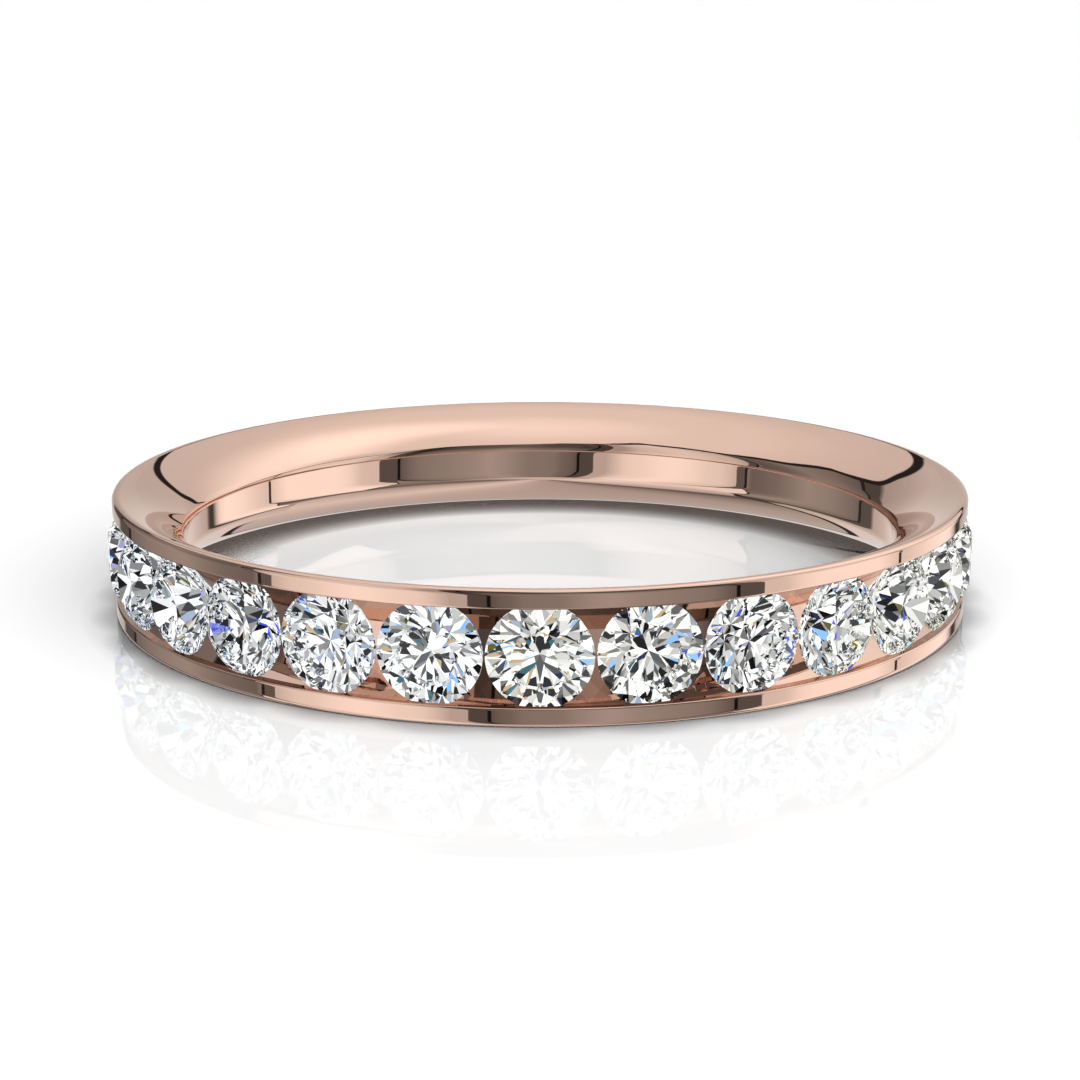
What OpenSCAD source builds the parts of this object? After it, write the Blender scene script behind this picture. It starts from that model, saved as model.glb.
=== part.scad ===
// Wedding band, channel set all the way round with round brilliants.
// The ring lies on its side: its axis is +Z and it rests on the XY plane. Millimetres.
// One cast band carries every stone: each girdle sits in a seat cut into the two rails,
// and the pavilion rests on the channel's sloping walls.

/* [Band] */
// Inside diameter, which is the ring size
inside_d = 16.9; // [16.8:0.1:18.2]
// Wall thickness at the rails
wall_t = 1.65; // [1.64:0.01:1.8]
// Width of the band along the finger
band_w = 2.83; // [2.75:0.01:3.2]
// Rounding of the outer corners
corner_r = 0.11; // [0.06:0.01:0.12]
// Width of the flat land on each side face
land_w = 0.05; // [0.03:0.01:0.1]
// How far each comfort-fit shoulder reaches in from its side face, before the inner rounding
shoulder_h = 1.00; // [0.9:0.01:1.1]
// Radius of the shoulder's dome
shoulder_r = 2.7; // [2.2:0.1:4]
// Rounding between the shoulders and the inner wall
inner_round = 0.40; // [0.2:0.05:0.5]

/* [Channel] */
// Opening between the two rails
channel_w = 2.02; // [1.98:0.01:2.06]
// Depth of the channel's floor below the rails
channel_d = 1.25; // [1.22:0.01:1.3]
// Width of the channel's floor
floor_w = 0.48; // [0.4:0.01:0.6]
// Depth at which the channel's walls start to slope in under the stones
bearing_d = 0.24; // [0.2:0.01:0.28]
// Bright bevel along each rail's inner edge
rail_bevel = 0.05; // [0.03:0.01:0.06]
// Play between a stone and its seat
seat_play = 0.008; // [0.004:0.001:0.01]

/* [Stones] */
// Number of stones round the band
stone_n = 28; // [28:1:28]
// Stone diameter at the girdle
stone_d = 2.18; // [2.1:0.01:2.18]
// Height of the stones' tables above the rails
table_proud = 0.12; // [0.1:0.01:0.2]
// Table width as a share of the stone's diameter
table_share = 0.57; // [0.55:0.01:0.6]
// Crown angle in degrees
crown_angle = 34.5; // [33:0.5:35]
// Pavilion angle in degrees
pavilion_angle = 40.75; // [40.5:0.05:41]
// Girdle thickness at the main facets as a share of the diameter
girdle_share = 0.035; // [0.03:0.005:0.04]
// Star facet length as a share of the crown
star_share = 0.5; // [0.45:0.01:0.55]
// Lower girdle facet length as a share of the pavilion
lower_share = 0.77; // [0.75:0.01:0.8]

/* [Hidden] */
$fn = 96;
inner_r = inside_d / 2;
outer_r = inner_r + wall_t;
mid_z = band_w / 2;
land_r = outer_r - corner_r - land_w;
floor_r = outer_r - channel_d;
bearing_r = outer_r - bearing_d;
// Stone measures
sr = stone_d / 2;
table_r = sr * table_share;
crown_h = (sr - table_r) * tan(crown_angle);
girdle_t = stone_d * girdle_share;
pavilion_h = sr * tan(pavilion_angle);
girdle_r = outer_r + table_proud - crown_h;
// Steps along each of the girdle's scallops
scallop_steps = 4;
rose = [0.86, 0.65, 0.57];
diamond = [0.93, 0.95, 0.97];

function two(i) = i < 10 ? str("0", i) : str(i);
function stone_name(i) = str("stone_", two(i));
// Every stone is set alike, with a main facet of its crown towards each rail
stone_turn = 0;

// Centre of the circle that makes a shoulder's dome, from the chord between rim and wall
chord_r = land_r - inner_r;
chord_l = sqrt(chord_r * chord_r + shoulder_h * shoulder_h);
dome_off = sqrt(shoulder_r * shoulder_r - chord_l * chord_l / 4);
dome_cr = (land_r + inner_r) / 2 + dome_off * shoulder_h / chord_l;
dome_cz = band_w - shoulder_h / 2 - dome_off * chord_r / chord_l;
// Centre of the inner rounding, which touches both the dome and the inner wall
round_cr = inner_r + inner_round;
round_up = sqrt(pow(shoulder_r - inner_round, 2) - pow(round_cr - dome_cr, 2));
round_cz = dome_cz + round_up;
// Radius at which the dome hands over to the rounding
touch_r = round_cr - inner_round * (dome_cr - round_cr) / (shoulder_r - inner_round);

module dome_side() {
  translate([dome_cr, dome_cz]) circle(r = shoulder_r, $fn = 360);
}

// Cross-section of the band without its channel, radius along X and height along Y
module band_section() {
  intersection() {
    translate([touch_r, 0]) square([land_r - touch_r, band_w]);
    dome_side();
    translate([0, band_w]) mirror([0, 1]) dome_side();
  }
  translate([inner_r, band_w - round_cz])
    square([touch_r - inner_r, 2 * round_cz - band_w]);
  for (z = [round_cz, band_w - round_cz])
    translate([round_cr, z]) circle(r = inner_round, $fn = 96);
  translate([land_r, 0]) square([land_w, band_w]);
  translate([land_r, corner_r])
    square([outer_r - land_r, band_w - 2 * corner_r]);
  for (z = [corner_r, band_w - corner_r])
    translate([outer_r - corner_r, z]) circle(r = corner_r, $fn = 48);
}

// Straight walls between the rails, then slopes that carry the stones, then a narrow floor
module channel_section() {
  w = channel_w / 2;
  f = floor_w / 2;
  polygon([
    [floor_r, mid_z - f], [bearing_r, mid_z - w], [outer_r - rail_bevel, mid_z - w],
    [outer_r + 0.1, mid_z - w - rail_bevel - 0.1],
    [outer_r + 0.1, mid_z + w + rail_bevel + 0.1],
    [outer_r - rail_bevel, mid_z + w], [bearing_r, mid_z + w], [floor_r, mid_z + f]
  ]);
}

// What a stone's seat takes out of the band: crown, girdle and pavilion with a little play
module seat() {
  r = sr + seat_play;
  rotate_extrude()
    polygon([
      [0, -girdle_t - pavilion_h - 0.03],
      [0.3, -girdle_t - pavilion_h + 0.22],
      [r, -girdle_t - 0.03],
      [r, seat_play], [0, seat_play + r * tan(crown_angle)]
    ]);
}

// Carries its children out to stone i's place, with the table facing outwards
module at_stone(i) {
  rotate([0, 0, -90 + (i - 1) * 360 / stone_n])
    translate([girdle_r, 0, mid_z])
      rotate([0, 90, 0])
        children();
}

module band() {
  color(rose) difference() {
    rotate_extrude() difference() {
      band_section();
      channel_section();
    }
    for (i = [1 : stone_n]) at_stone(i) seat();
  }
}

// A plane through three points, read off at x, y
function plane_z(a, b, c, x, y) =
  let (n = cross(b - a, c - a))
    a[2] - (n[0] * (x - a[0]) + n[1] * (y - a[1])) / n[2];

// Round brilliant: table, 8 stars, 8 kites, 16 upper halves, girdle, 16 lower halves, 8 mains
module brilliant() {
  c = cos(22.5);
  ta = tan(crown_angle);
  tp = tan(pavilion_angle);
  star_r = table_r + (sr - table_r) * star_share;
  star_z = (sr - star_r * c) * ta;
  low_r = sr * (1 - lower_share);
  low_z = -girdle_t - (sr - low_r * c) * tp;
  m = scallop_steps;
  gn = 16 * m;
  // One upper and one lower half facet, from which the girdle's scallops follow
  up = [[star_r * c, star_r * sin(22.5), star_z], [sr, 0, 0],
        [sr * c, sr * sin(22.5), 0]];
  dn = [[low_r * c, low_r * sin(22.5), low_z], [sr, 0, -girdle_t],
        [sr * c, sr * sin(22.5), -girdle_t]];
  function fold(k) = let (j = k % (2 * m)) j <= m ? j : 2 * m - j;
  function edge_z(p, k) =
    let (a = fold(k) * 22.5 / m)
      plane_z(p[0], p[1], p[2], sr * cos(a), sr * sin(a));
  pts = concat(
    [for (k = [0 : 7]) [table_r * cos(45 * k), table_r * sin(45 * k), crown_h]],
    [for (k = [0 : 7]) [star_r * cos(45 * k + 22.5), star_r * sin(45 * k + 22.5), star_z]],
    [for (k = [0 : gn - 1]) let (a = k * 22.5 / m) [sr * cos(a), sr * sin(a), edge_z(up, k)]],
    [for (k = [0 : gn - 1]) let (a = k * 22.5 / m) [sr * cos(a), sr * sin(a), edge_z(dn, k)]],
    [for (k = [0 : 7]) [low_r * cos(45 * k + 22.5), low_r * sin(45 * k + 22.5), low_z]],
    [[0, 0, -girdle_t - pavilion_h]]
  );
  // Where each ring of points starts: upper girdle, lower girdle, lower halves, culet
  g = 16;
  h = 16 + gn;
  l = 16 + 2 * gn;
  tip = l + 8;
  faces = concat(
    [[for (k = [7 : -1 : 0]) k]],
    [for (k = [0 : 7]) [k, (k + 1) % 8, 8 + k]],
    [for (k = [0 : 7]) [k, 8 + k, g + 2 * m * k, 8 + (k + 7) % 8]],
    [for (k = [0 : 7]) concat([8 + k], [for (j = [m : -1 : 0]) g + 2 * m * k + j])],
    [for (k = [0 : 7]) concat([8 + k], [for (j = [2 * m : -1 : m]) g + (2 * m * k + j) % gn])],
    [for (k = [0 : gn - 1]) [g + k, g + (k + 1) % gn, h + (k + 1) % gn, h + k]],
    [for (k = [0 : 7]) concat([l + k], [for (j = [0 : m]) h + 2 * m * k + j])],
    [for (k = [0 : 7]) concat([l + k], [for (j = [m : 2 * m]) h + (2 * m * k + j) % gn])],
    [for (k = [0 : 7]) [tip, l + (k + 7) % 8, h + 2 * m * k, l + k]]
  );
  polyhedron(points = pts, faces = faces);
}

module stone(i) {
  color(diamond) at_stone(i) rotate([0, 0, stone_turn]) brilliant();
}

band();
for (i = [1 : stone_n])
  stone(i);
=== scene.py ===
import math
import bpy
import bmesh
from mathutils import Matrix, Vector


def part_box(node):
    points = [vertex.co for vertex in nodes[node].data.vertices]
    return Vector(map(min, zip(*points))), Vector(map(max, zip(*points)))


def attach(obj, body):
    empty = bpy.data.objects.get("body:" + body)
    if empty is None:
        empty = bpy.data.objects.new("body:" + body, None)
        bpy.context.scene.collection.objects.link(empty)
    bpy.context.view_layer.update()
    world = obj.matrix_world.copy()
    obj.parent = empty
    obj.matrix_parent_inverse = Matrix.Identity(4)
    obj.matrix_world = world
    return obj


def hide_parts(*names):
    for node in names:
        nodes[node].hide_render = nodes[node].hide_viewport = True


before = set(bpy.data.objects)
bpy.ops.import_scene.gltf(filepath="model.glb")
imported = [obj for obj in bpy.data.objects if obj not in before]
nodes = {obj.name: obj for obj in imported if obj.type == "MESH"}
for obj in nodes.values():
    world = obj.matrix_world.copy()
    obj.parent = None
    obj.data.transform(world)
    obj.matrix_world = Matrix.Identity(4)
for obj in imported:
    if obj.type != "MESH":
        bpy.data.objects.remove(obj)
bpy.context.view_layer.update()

# ---------------------------------------------------------------- sizes, in metres, as in the part
MM = 0.001
lo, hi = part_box("band")
OUTER_R = hi[0]
BAND_W = hi[2] - lo[2]
WALL_T = 1.65 * MM
INNER_R = OUTER_R - WALL_T
MID_Z = BAND_W / 2
CORNER_R = 0.11 * MM
LAND_W = 0.05 * MM
SHOULDER_H = 1.00 * MM
SHOULDER_R = 2.7 * MM
ROUND_R = 0.40 * MM
CHANNEL_W = 2.02 * MM
CHANNEL_D = 1.25 * MM
FLOOR_W = 0.48 * MM
FLOOR_R = OUTER_R - CHANNEL_D
BEARING_D = 0.24 * MM
BEARING_R = OUTER_R - BEARING_D
BEVEL = 0.05 * MM
PLAY = 0.008 * MM
STONE_N = 28
STONE_R = 1.09 * MM
GIRDLE_T = 0.035 * 2 * STONE_R
TABLE_R = 0.57 * STONE_R
TABLE_PROUD = 0.12 * MM
CROWN_SLOPE = math.tan(math.radians(34.5))
PAVILION_SLOPE = math.tan(math.radians(40.75))
CROWN_H = (STONE_R - TABLE_R) * CROWN_SLOPE
PAVILION_H = STONE_R * PAVILION_SLOPE
GIRDLE_R = OUTER_R + TABLE_PROUD - CROWN_H

# How finely the band is drawn
TURNS = STONE_N * 40
DOME_STEPS = 30
ROUND_STEPS = 24
CORNER_STEPS = 8
BEVEL_STEPS = 6
WALL_STEPS = 6
FLOOR_STEPS = 4
SEAT_STEPS = 72
SHARP_DEG = 24
# Rows of points this far from an edge keep its shading crisp
KEEP = 0.012 * MM

# The diamond's and the floor's refractive index
DIAMOND_IOR = 2.417
FLOOR_IOR = 1.45
BLACK = (0.0, 0.0, 0.0, 1)


# ---------------------------------------------------------------- node helpers
class Tree:
    """Short names for building a node tree. Underscores in an input's name stand for spaces."""

    def __init__(self, tree):
        self.tree = tree
        tree.nodes.clear()

    def add(self, kind, **inputs):
        n = self.tree.nodes.new(kind)
        for k, v in inputs.items():
            self.put(n.inputs[k.replace("_", " ")], v)
        return n

    def put(self, socket, v):
        if isinstance(v, bpy.types.NodeSocket):
            self.tree.links.new(v, socket)
        else:
            socket.default_value = v

    def math(self, op, a, b=0.0, c=0.0, clamp=False):
        n = self.tree.nodes.new("ShaderNodeMath")
        n.operation = op
        n.use_clamp = clamp
        for s, v in zip(n.inputs, (a, b, c)):
            self.put(s, v)
        return n.outputs[0]

    def mix(self, fac, a, b):
        n = self.tree.nodes.new("ShaderNodeMix")
        n.data_type = "RGBA"
        for name, v in (("Factor", fac), ("A", a), ("B", b)):
            socket = [s for s in n.inputs if s.name == name and s.enabled][0]
            self.put(socket, v)
        return [s for s in n.outputs if s.enabled][0]

    def blend(self, fac, a, b):
        n = self.tree.nodes.new("ShaderNodeMixShader")
        for socket, v in zip(n.inputs, (fac, a, b)):
            self.put(socket, v)
        return n.outputs[0]

    def ramp(self, value, stops, how="LINEAR"):
        n = self.tree.nodes.new("ShaderNodeValToRGB")
        self.tree.links.new(value, n.inputs[0])
        r = n.color_ramp
        r.interpolation = how
        for i, (at, c) in enumerate(stops):
            e = r.elements[i] if i < 2 else r.elements.new(at)
            e.position = at
            e.color = c if isinstance(c, tuple) else (c, c, c, 1)
        return n.outputs[0]

    def step(self, value, start, end):
        """0 up to start, 1 past end, smooth between."""
        n = self.tree.nodes.new("ShaderNodeMapRange")
        n.interpolation_type = "SMOOTHSTEP"
        self.put(n.inputs["Value"], value)
        n.inputs["From Min"].default_value = start
        n.inputs["From Max"].default_value = end
        return n.outputs[0]

    def drop(self, value, start, end):
        """1 up to start, 0 past end, smooth between."""
        return self.math("SUBTRACT", 1.0, self.step(value, start, end))


# ---------------------------------------------------------------- materials
def rose_gold():
    mat = bpy.data.materials.new("polished_rose_gold")
    mat.use_nodes = True
    t = Tree(mat.node_tree)
    at = t.add("ShaderNodeTexCoord").outputs["Object"]
    # Alloy and polish vary slowly over the band by a percent or two
    cloud = t.add("ShaderNodeTexNoise", Vector=at, Scale=420.0, Detail=3.0, Roughness=0.55)
    alloy = [(0.3, (0.940, 0.645, 0.515, 1)), (0.7, (0.960, 0.665, 0.540, 1))]
    colour = t.ramp(cloud.outputs[0], alloy)
    # Buffing leaves fine hairlines along the band: noise stretched round the ring
    polar = t.add("ShaderNodeVectorMath")
    polar.operation = "MULTIPLY"
    t.put(polar.inputs[0], at)
    polar.inputs[1].default_value = (1400.0, 1400.0, 26000.0)
    hair = t.add("ShaderNodeTexNoise", Vector=polar.outputs[0], Scale=1.0, Detail=4.0, Roughness=0.6)
    fine = t.add("ShaderNodeTexNoise", Vector=at, Scale=9000.0, Detail=2.0)
    rough = t.math("MULTIPLY_ADD", hair.outputs[0], 0.014, 0.008)
    rough = t.math("MULTIPLY_ADD", fine.outputs[0], 0.006, rough)
    both = t.math("MULTIPLY_ADD", fine.outputs[0], 0.25, hair.outputs[0])
    bump = t.add("ShaderNodeBump", Height=both, Strength=0.006, Distance=0.00002)
    # Painted reflection tone: where the metal is seen in a further mirroring, as between two gold
    # walls, it is given a paler, slightly darker colour than the gold's own
    painted_rebounce_mask = t.math("GREATER_THAN", t.add("ShaderNodeLightPath").outputs["Glossy Depth"], 0.5)
    colour = t.mix(painted_rebounce_mask, colour, (0.80, 0.63, 0.555, 1))
    p = t.add("ShaderNodeBsdfPrincipled", Base_Color=colour, Roughness=rough,
              Normal=bump.outputs[0])
    p.inputs["Metallic"].default_value = 1.0
    p.inputs["Specular Tint"].default_value = (1.0, 0.96, 0.93, 1)
    out = t.add("ShaderNodeOutputMaterial")
    t.put(out.inputs["Surface"], p.outputs[0])
    return mat


def diamond():
    mat = bpy.data.materials.new("brilliant_diamond")
    mat.use_nodes = True
    t = Tree(mat.node_tree)
    at = t.add("ShaderNodeTexCoord").outputs["Object"]
    # The faintest body colour, drifting from stone to stone
    cloud = t.add("ShaderNodeTexNoise", Vector=at, Scale=330.0, Detail=1.0)
    body = [(0.35, (0.985, 0.992, 1.0, 1)), (0.65, (1.0, 0.998, 0.985, 1))]
    tint = t.ramp(cloud.outputs[0], body)
    # Light is split at the surface: from outside a part is mirrored, and inside a facet either
    # mirrors all of it or lets it out, which keeps the shards clean
    fres = t.add("ShaderNodeFresnel", IOR=DIAMOND_IOR).outputs[0]
    inside = t.add("ShaderNodeNewGeometry").outputs["Backfacing"]
    outer = t.math("MULTIPLY", fres, 0.35)
    inner = t.step(fres, 0.35, 0.65)
    share = t.math("MULTIPLY_ADD", inside, t.math("SUBTRACT", inner, outer), outer)
    bend = t.add("ShaderNodeBsdfRefraction", Color=tint, IOR=DIAMOND_IOR, Roughness=0.004)
    mirror = t.add("ShaderNodeBsdfGlossy", Color=tint, Roughness=0.004)
    glass = t.blend(share, bend.outputs[0], mirror.outputs[0])
    # In the metal beside them the stones are only a faint shade: its mirrorings pass through
    path = t.add("ShaderNodeLightPath").outputs
    enters = t.math("MULTIPLY", path["Is Glossy Ray"], t.math("SUBTRACT", 1.0, path["Is Singular Ray"]))
    enters = t.math("MULTIPLY", enters, t.math("SUBTRACT", 1.0, inside))
    passes = t.math("MAXIMUM", enters, t.math("GREATER_THAN", path["Transparent Depth"], 0.5))
    clear = t.add("ShaderNodeBsdfTransparent", Color=(0.92, 0.92, 0.92, 1))
    out = t.add("ShaderNodeOutputMaterial")
    t.put(out.inputs["Surface"], t.blend(passes, glass, clear.outputs[0]))
    return mat


def floor_white():
    mat = bpy.data.materials.new("studio_floor")
    mat.use_nodes = True
    t = Tree(mat.node_tree)
    # Painted shade: the floor's colour is darkened by ambient occlusion where the ring meets the floor
    # and under its overhanging shoulder
    near = t.add("ShaderNodeAmbientOcclusion", Distance=0.9 * MM)
    near.samples = 12
    shade = t.math("POWER", near.outputs["AO"], 1.5)
    floor_tone_with_painted_shade = t.mix(shade, BLACK, (0.80, 0.80, 0.80, 1))
    diffuse = t.add("ShaderNodeBsdfDiffuse", Color=floor_tone_with_painted_shade)
    gloss = t.add("ShaderNodeBsdfGlossy", Color=(1, 1, 1, 1), Roughness=0.0)
    fres = t.add("ShaderNodeFresnel", IOR=FLOOR_IOR)
    out = t.add("ShaderNodeOutputMaterial")
    t.put(out.inputs["Surface"], t.blend(fres.outputs[0], diffuse.outputs[0], gloss.outputs[0]))
    return mat


# ---------------------------------------------------------------- the band
def arc(cx, cz, r, a0, a1, n):
    """n + 1 points on a circle round (cx, cz), from angle a0 to angle a1."""
    angles = [a0 + (a1 - a0) * i / n for i in range(n + 1)]
    return [(cx + r * math.cos(a), cz + r * math.sin(a)) for a in angles]


def line(a, b, n):
    """n points on the way from a to b, b included."""
    return [(a[0] + (b[0] - a[0]) * i / n, a[1] + (b[1] - a[1]) * i / n) for i in range(1, n + 1)]


def band_profile():
    """The section as (radius, z) round the loop, from the upper shoulder's outer end."""
    land_r = OUTER_R - CORNER_R - LAND_W
    dr = land_r - INNER_R
    chord = math.hypot(dr, SHOULDER_H)
    off = math.sqrt(SHOULDER_R**2 - chord**2 / 4)
    cx = (land_r + INNER_R) / 2 + off * SHOULDER_H / chord
    cz = BAND_W - SHOULDER_H / 2 - off * dr / chord
    # The rounding that takes the dome into the inner wall
    rx = INNER_R + ROUND_R
    rz = cz + math.sqrt((SHOULDER_R - ROUND_R)**2 - (rx - cx)**2)
    a0 = math.atan2(BAND_W - cz, land_r - cx)
    a1 = math.atan2(rz - cz, rx - cx)
    top = arc(cx, cz, SHOULDER_R, a0, a1, DOME_STEPS)[:-1]
    top += arc(rx, rz, ROUND_R, a1, math.pi, ROUND_STEPS)
    wall = line((INNER_R, rz), (INNER_R, BAND_W - rz), WALL_STEPS)[:-1]
    # The lower rail: rounded corner, flat face, rounded inner edge, wall and slope to the floor
    rail_z = MID_Z - CHANNEL_W / 2
    slope_end = (FLOOR_R, MID_Z - FLOOR_W / 2)
    low = arc(OUTER_R - CORNER_R, CORNER_R, CORNER_R, -math.pi / 2, 0, CORNER_STEPS)
    low += [(OUTER_R, CORNER_R + KEEP), (OUTER_R, rail_z - BEVEL - KEEP)]
    low += arc(OUTER_R - BEVEL, rail_z - BEVEL, BEVEL, 0, math.pi / 2, BEVEL_STEPS)
    low += [(OUTER_R - BEVEL - KEEP, rail_z), (BEARING_R, rail_z)]
    low += line((BEARING_R, rail_z), slope_end, WALL_STEPS)
    channel_floor = line(slope_end, (FLOOR_R, MID_Z + FLOOR_W / 2), FLOOR_STEPS)[:-1]
    # The band is the same from both sides
    bottom = [(r, BAND_W - z) for r, z in reversed(top)]
    high = [(r, BAND_W - z) for r, z in reversed(low)]
    return top + wall + bottom + low + channel_floor + high


def lathe(points, turns, name):
    """The closed section turned once round the z axis."""
    bm = bmesh.new()
    rings = []
    for i in range(turns):
        c, s = math.cos(2 * math.pi * i / turns), math.sin(2 * math.pi * i / turns)
        rings.append([bm.verts.new((r * c, r * s, z)) for r, z in points])
    n = len(points)
    for i in range(turns):
        a, b = rings[i], rings[(i + 1) % turns]
        for j in range(n):
            k = (j + 1) % n
            bm.faces.new((a[j], a[k], b[k], b[j]))
    bmesh.ops.recalc_face_normals(bm, faces=bm.faces)
    mesh = bpy.data.meshes.new(name)
    bm.to_mesh(mesh)
    bm.free()
    return mesh


def place(i):
    """Where stone i sits: its local +Z points straight out of the band."""
    round_band = Matrix.Rotation(math.radians(-90 + (i - 1) * 360 / STONE_N), 4, "Z")
    out = Matrix.Translation((GIRDLE_R, 0, MID_Z))
    return round_band @ out @ Matrix.Rotation(math.pi / 2, 4, "Y")


def seat_cutters():
    """One mesh with every stone's seat, each a closed turned shape."""
    r = STONE_R + PLAY
    culet = -GIRDLE_T - PAVILION_H
    below = 0.03 * MM
    section = [(0.3 * MM, culet + 0.22 * MM), (r, -GIRDLE_T - below), (r, PLAY)]
    tip, cap = culet - below, PLAY + r * CROWN_SLOPE
    bm = bmesh.new()
    for i in range(1, STONE_N + 1):
        m = place(i)
        low = bm.verts.new(m @ Vector((0, 0, tip)))
        high = bm.verts.new(m @ Vector((0, 0, cap)))
        rings = []
        for k in range(SEAT_STEPS):
            a = 2 * math.pi * (k + 0.5) / SEAT_STEPS
            c, s = math.cos(a), math.sin(a)
            rings.append([bm.verts.new(m @ Vector((q * c, q * s, z))) for q, z in section])
        for k in range(SEAT_STEPS):
            a, b = rings[k], rings[(k + 1) % SEAT_STEPS]
            bm.faces.new((low, b[0], a[0]))
            bm.faces.new((a[0], b[0], b[1], a[1]))
            bm.faces.new((a[1], b[1], b[2], a[2]))
            bm.faces.new((a[2], b[2], high))
    mesh = bpy.data.meshes.new("seats")
    bm.to_mesh(mesh)
    bm.free()
    return mesh


def make_band(mat):
    """The turned band with the stones' seats cut into it."""
    scene = bpy.context.scene
    body = bpy.data.objects.new("band_metal", lathe(band_profile(), TURNS, "band_metal"))
    cutter = bpy.data.objects.new("seat_tools", seat_cutters())
    for o in (body, cutter):
        scene.collection.objects.link(o)
    mod = body.modifiers.new("seats", "BOOLEAN")
    mod.operation = "DIFFERENCE"
    mod.solver = "MANIFOLD"
    mod.object = cutter
    dg = bpy.context.evaluated_depsgraph_get()
    mesh = bpy.data.meshes.new_from_object(body.evaluated_get(dg), depsgraph=dg)
    body.modifiers.clear()
    body.data = mesh
    mesh.name = "band_metal"
    bpy.data.objects.remove(cutter)
    mesh.materials.clear()
    mesh.materials.append(mat)
    mesh.polygons.foreach_set("use_smooth", [True] * len(mesh.polygons))
    mesh.set_sharp_from_angle(angle=math.radians(SHARP_DEG))
    # The stones stand for themselves: what is seen through them is the room, not the metal behind
    body.visible_transmission = False
    return body


# ---------------------------------------------------------------- studio
# Directions in the studio: azimuth 0 is the front (-Y) and 90 the right (+X), elevation 0 the
# horizon. Each table gives a value for azimuths from -180 to 180, unless it says otherwise.
# The walls, panels, edges and ground aren't a free design. Scratch scripts traced the photo's
# reflections in the gold back to directions and tones, and these are their results, rounded and
# then tuned against renders. report.md says which rule of the task this goes against.
LEFT_WALLS = [
    (-180, .70), (-170, .74), (-160, .6), (-149, .5), (-146.5, .1), (-138, .1), (-135, .18),
    (-120, .28), (-105, .34), (-90, .2), (-78, .15), (-74, .55), (-66, .80), (-60, .85), (-54, .96),
    (-48, 1.02), (-43, 1.0), (-37, .92), (-30, .86), (-26, .68), (-23, .52), (-19, .48), (-15, .10),
    (-12, .105), (-10.8, .15), (-7, .18), (-4, .235), (2, .25)]
RIGHT_WALLS = [
    (-2, .24), (5, .25), (9, .30), (15, .37), (18.5, .39), (25, .33), (33, .29), (40, .265),
    (44, .235), (47.5, .18), (50.5, .13), (56, .11), (59.5, .68), (66, .74), (71, .95), (76, 1.04),
    (98, 1.06), (106, .8), (108, .75), (122, 1.0), (133, 1.1), (138, .95), (141, .55), (143, .06),
    (147, .06), (149, .5), (158, .62), (170, .74), (180, .70)]
# Narrow panels and the dark gaps between walls: azimuth from, azimuth to, tone
PANELS = [
    (-138.0, -136.0, .03), (-76.8, -75.6, .02), (-75.6, -72.3, .12), (-23.0, -18.2, .50),
    (-18.2, -13.3, .085), (-13.3, -12.3, .008), (50.9, 52.0, .008), (52.0, 59.0, .10),
    (59.0, 62.0, .70), (106.4, 107.6, .03)]
# Elevation of the ceiling's edge
CEILING_EDGE = [
    (-180, 24.5), (-165, 25), (-151, 26), (-135, 36.5), (-110, 46), (-87, 55), (-64, 64), (-49, 66),
    (-27, 64), (-10, 61), (0, 55), (17, 52), (32, 53), (45, 50), (53, 41), (62, 33), (87, 27),
    (98, 19.5), (111, 11), (125, 4), (139, 2), (146, 7), (155, 14), (165, 18), (180, 24.5)]
# The ceiling's tone, from the horizon (0) to overhead (1)
CEILING_RISE = [(0.0, .56), (.28, .62), (.45, .68), (.6, .78), (.76, .80), (.88, .92), (1.0, 1.0)]
# How far below the horizon the walls end, and the tone of the ground past them
WALL_FOOT = [
    (-180, 27), (-165, 38), (-150, 50), (-140, 57), (-120, 58.5), (-108, 54), (-95, 45), (-85, 35),
    (-77, 22), (-73, 66), (-36, 66), (-31, 66), (-20, 62), (52, 62), (53.5, 25), (58, 40), (64, 50),
    (75, 55), (90, 58), (105, 60), (107, 20), (110, 30), (118, 37), (130, 45), (145, 48), (160, 44),
    (170, 34), (180, 27)]
GROUND = [
    (-180, .47), (-165, .42), (-150, .25), (-143, .08), (-139, .5), (-120, .75), (-90, .86),
    (-45, .84), (-36, .7), (-26, .55), (-15, .6), (0, .62), (15, .6), (30, .5), (60, .25),
    (104, .14), (118, .16), (127, .38), (138, .55), (155, .74), (170, .55), (180, .47)]
# Where a dark line marks the walls' foot (1) and where the ground follows without one (0)
FOOT_LINE = [
    (-180, 1), (-78, 1), (-74, 0), (-34, 0), (-22, 1), (118, 1), (127, 0), (165, 0), (172, 1),
    (180, 1)]
SEAM = (0.02, 0.02, 0.02, 1)
FOOT_SEAM = (0.03, 0.03, 0.03, 1)
# The lamps and gaps that the stones gather, from the darkest to the brightest. Their shares were
# tuned until the stones' brightness statistics came near the photo's.
SPARKLE = [
    (0.0, .002), (0.09, (.007, .009, .013, 1)), (0.13, (.026, .03, .040, 1)),
    (0.155, (.060, .07, .088, 1)), (0.185, (.12, .13, .145, 1)), (0.225, .22), (0.265, .33),
    (0.31, .47), (0.365, .68), (0.42, .95), (0.49, 1.15), (0.59, 1.4)]
# A few of them are coloured, as a diamond's fire would
FIRE = [
    (0.0, (.06, .10, .95, 1)), (0.09, (.30, .62, 1.15, 1)), (0.17, (.45, .50, .95, 1)),
    (0.25, (.02, .03, .10, 1)), (0.34, (.14, .13, .03, 1)), (0.45, (.50, .52, .62, 1)),
    (0.55, (1.15, 1.10, .35, 1)), (0.58, (.38, .48, .66, 1)), (0.72, (.60, .60, .50, 1)),
    (0.76, (.50, .46, .90, 1)), (0.87, (.05, .16, .22, 1)), (0.93, (.45, .95, 1.15, 1)),
    (0.98, (.66, .46, .28, 1))]
FIRE_SHARE = 0.075
LAMPS = 5.6


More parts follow.
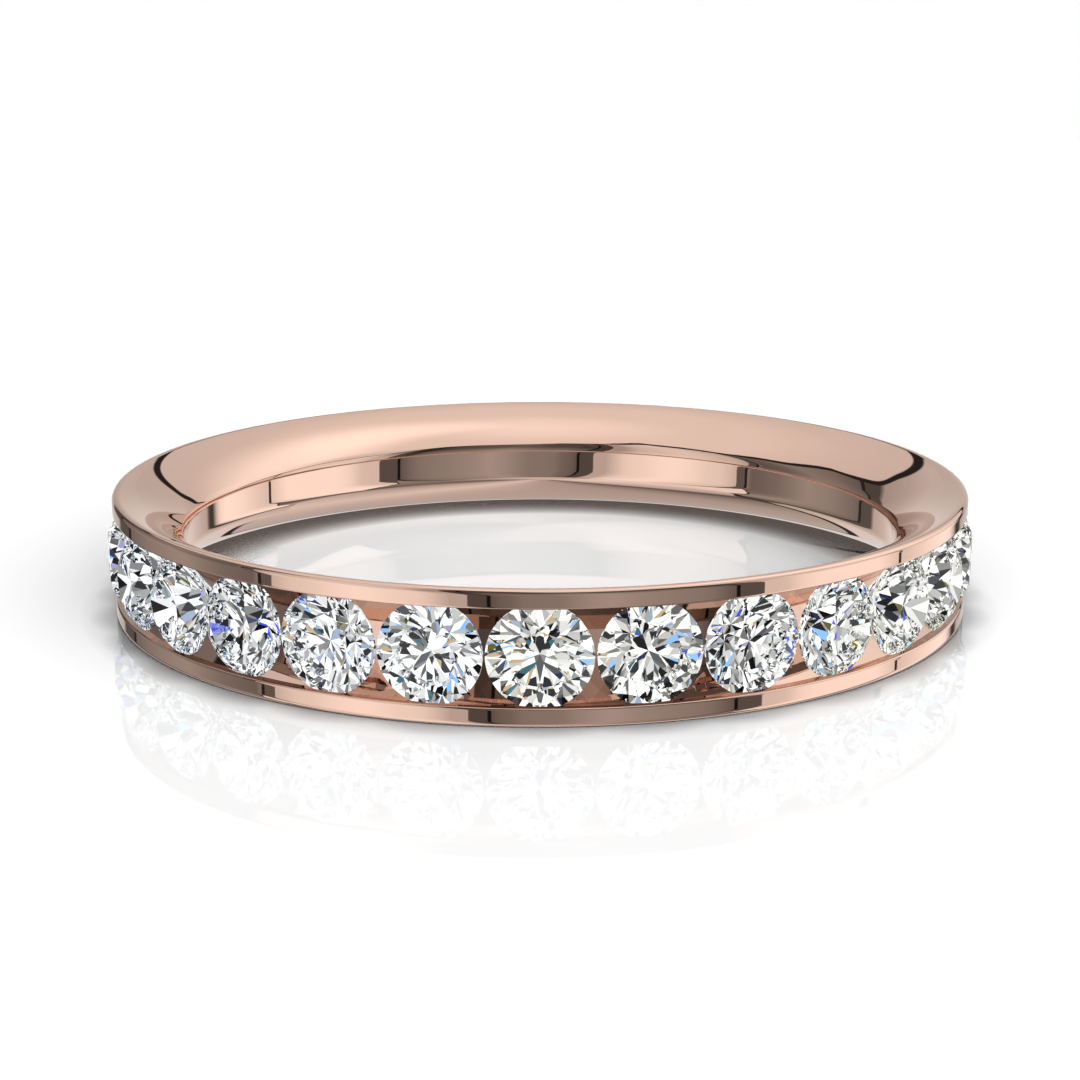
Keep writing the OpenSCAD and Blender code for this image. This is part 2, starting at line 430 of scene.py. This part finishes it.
def by_azimuth(t, turn, table, how="LINEAR", unit=1.0):
    """A table's value at a direction, where turn runs from 0 at azimuth -180 to 1 at 180."""
    return t.ramp(turn, [(az / 360 + 0.5, v / unit) for az, v in table], how)


def walls_of(t, lean, az, el):
    """Bright and dim walls in turn, with dark seams between them."""
    turn = t.math("MULTIPLY_ADD", lean, 1 / 360, 0.5)
    left = by_azimuth(t, turn, LEFT_WALLS)
    right = by_azimuth(t, turn, RIGHT_WALLS)
    walls = t.mix(t.math("GREATER_THAN", lean, 0.0), left, right)
    for start, end, tone in PANELS:
        begins = t.step(lean, start - 0.1, start + 0.1)
        inside = t.math("MULTIPLY", begins, t.drop(lean, end - 0.1, end + 0.1))
        walls = t.mix(inside, walls, (tone, tone, tone, 1))
    # They are a little dimmer above the horizon, and in front more so higher up
    walls = t.mix(t.math("MULTIPLY", t.step(el, -4.0, 16.0), 0.25), walls, BLACK)
    front = t.drop(t.math("ABSOLUTE", t.math("SUBTRACT", az, 18.0)), 36.0, 44.0)
    high = t.math("MULTIPLY", t.step(el, 12.0, 34.0), front)
    return t.mix(t.math("MULTIPLY", high, 0.55), walls, BLACK)


def room_of(t, az, el):
    """The light tent that the metal mirrors: walls, the ceiling over them and the ground below."""
    # The walls' seams lean a little
    lift = t.math("MAXIMUM", t.math("ADD", el, 15.0), 0.0)
    walls = walls_of(t, t.math("MULTIPLY_ADD", lift, 0.2, az), az, el)
    turn = t.math("MULTIPLY_ADD", az, 1 / 360, 0.5)
    edge = t.math("MULTIPLY", by_azimuth(t, turn, CEILING_EDGE, "CARDINAL", 90), 90.0)
    over = t.math("SUBTRACT", el, edge)
    # The ceiling is brightest in one broad streak, and overhead
    rise = t.ramp(t.math("DIVIDE", el, 90.0), CEILING_RISE)
    streak = t.drop(t.math("ABSOLUTE", t.math("SUBTRACT", az, 117.0)), 6.0, 46.0)
    streak = t.math("MULTIPLY", streak, t.drop(el, 62.0, 90.0))
    ceiling = t.math("MULTIPLY_ADD", streak, 0.40, rise)
    room = t.mix(t.step(over, 0.1, 0.7), walls, ceiling)
    seam = t.math("MULTIPLY", t.step(over, -2.2, -1.6), t.drop(over, 0.1, 0.5))
    room = t.mix(seam, room, SEAM)
    foot = t.math("MULTIPLY", by_azimuth(t, turn, WALL_FOOT, unit=90), -90.0)
    under = t.math("SUBTRACT", foot, el)
    room = t.mix(t.step(under, 0.0, 0.6), room, by_azimuth(t, turn, GROUND))
    seam = t.math("MULTIPLY", t.step(under, -1.2, -0.8), t.drop(under, 0.2, 0.6))
    return t.mix(t.math("MULTIPLY", seam, by_azimuth(t, turn, FOOT_LINE)), room, FOOT_SEAM)


def sparkle_of(t, way):
    """What the stones gather: small lamps and dark gaps all round, a few of them coloured."""
    cell = t.add("ShaderNodeTexVoronoi", Vector=way, Scale=LAMPS, Randomness=1.0)
    pick = t.add("ShaderNodeSeparateColor", Color=cell.outputs["Color"])
    tone = t.ramp(pick.outputs[0], SPARKLE, "CONSTANT")
    # Lamps fade a little towards their edge
    tone = t.mix(t.math("MULTIPLY", t.step(cell.outputs["Distance"], 0.1, 0.75), 0.2), tone, BLACK)
    hue = t.ramp(pick.outputs[1], FIRE, "CONSTANT")
    return t.mix(t.math("LESS_THAN", pick.outputs[2], FIRE_SHARE), tone, hue)


def floor_light(t, x, y, z):
    """Low light from the front and a little from the right: the shade falls inside and behind.

    Its direction and weights come from a fit to the floor's tones in the photo.
    """
    fore = t.math("MULTIPLY_ADD", y, -0.981, t.math("MULTIPLY", z, 0.087))
    fore = t.math("MULTIPLY_ADD", x, 0.173, fore)
    fore = t.math("POWER", t.math("MAXIMUM", fore, 0.0), 2.0)
    side = t.math("POWER", t.math("MAXIMUM", x, 0.0), 2.0)
    return t.math("MULTIPLY_ADD", fore, 7.1, t.math("MULTIPLY_ADD", side, 0.8, 0.24))


def studio_world():
    """White to the eye and in the floor, a light tent in the metal and small lamps in the stones."""
    world = bpy.data.worlds.new("studio")
    bpy.context.scene.world = world
    world.use_nodes = True
    world.cycles.sampling_method = "NONE"
    t = Tree(world.node_tree)
    way = t.add("ShaderNodeTexCoord").outputs["Generated"]
    x, y, z = t.add("ShaderNodeSeparateXYZ", Vector=way).outputs
    az = t.math("ARCTAN2", x, t.math("MULTIPLY", y, -1.0))
    az = t.math("MULTIPLY", az, 180 / math.pi)
    el = t.math("MULTIPLY", t.math("ARCSINE", z), 180 / math.pi)
    path = t.add("ShaderNodeLightPath").outputs
    seen = t.mix(path["Is Transmission Ray"], room_of(t, az, el), sparkle_of(t, way))
    plain = t.math("MULTIPLY", path["Is Singular Ray"], path["Is Glossy Ray"])
    plain = t.math("MAXIMUM", path["Is Camera Ray"], plain)
    seen = t.mix(plain, seen, (1.0, 1.0, 1.0, 1))
    seen = t.mix(path["Is Diffuse Ray"], seen, floor_light(t, x, y, z))
    back = t.add("ShaderNodeBackground", Color=seen, Strength=1.0)
    out = t.add("ShaderNodeOutputWorld")
    t.put(out.inputs["Surface"], back.outputs[0])


def make_floor(mat):
    # One big triangle, so no edge crosses the view
    reach = 20.0
    thirds = [math.radians(d) for d in (0, -120, 120)]
    corners = [(reach * math.sin(a), reach * math.cos(a), 0) for a in thirds]
    mesh = bpy.data.meshes.new("floor")
    mesh.from_pydata(corners, [], [(0, 1, 2)])
    mesh.materials.append(mat)
    o = bpy.data.objects.new("floor", mesh)
    # A hair below the band, so the two never share a plane
    o.location = (0, 0, -0.004 * MM)
    o.visible_glossy = False
    o.visible_transmission = False
    bpy.context.scene.collection.objects.link(o)


def camera():
    """In front of the ring, 50.66 mm from its axis, looking down by 0.247 rad."""
    cam = bpy.data.cameras.new("camera")
    cam.sensor_width = 36.0
    cam.lens = 72.05
    cam.clip_start = 0.001
    cam.clip_end = 50.0
    o = bpy.data.objects.new("camera", cam)
    o.location = (0, -50.66 * MM, 14.07 * MM)
    o.rotation_euler = (math.pi / 2 - 0.247, 0, 0)
    bpy.context.scene.collection.objects.link(o)
    bpy.context.scene.camera = o


def settings():
    """Enough bounces for light to find its way out of a brilliant."""
    s = bpy.context.scene
    s.view_settings.view_transform = "Standard"
    s.view_settings.look = "None"
    s.cycles.max_bounces = 24
    s.cycles.glossy_bounces = 24
    s.cycles.transmission_bounces = 24
    s.cycles.use_denoising = True
    s.cycles.blur_glossy = 0.0
    s.cycles.caustics_reflective = False
    s.cycles.caustics_refractive = False


# ---------------------------------------------------------------- build
gold = rose_gold()
gem = diamond()
band = make_band(gold)
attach(band, "root")
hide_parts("band")
for name, o in nodes.items():
    if name.startswith("stone_"):
        for s in o.material_slots:
            s.link = "OBJECT"
            s.material = gem
make_floor(floor_white())
studio_world()
camera()
settings()
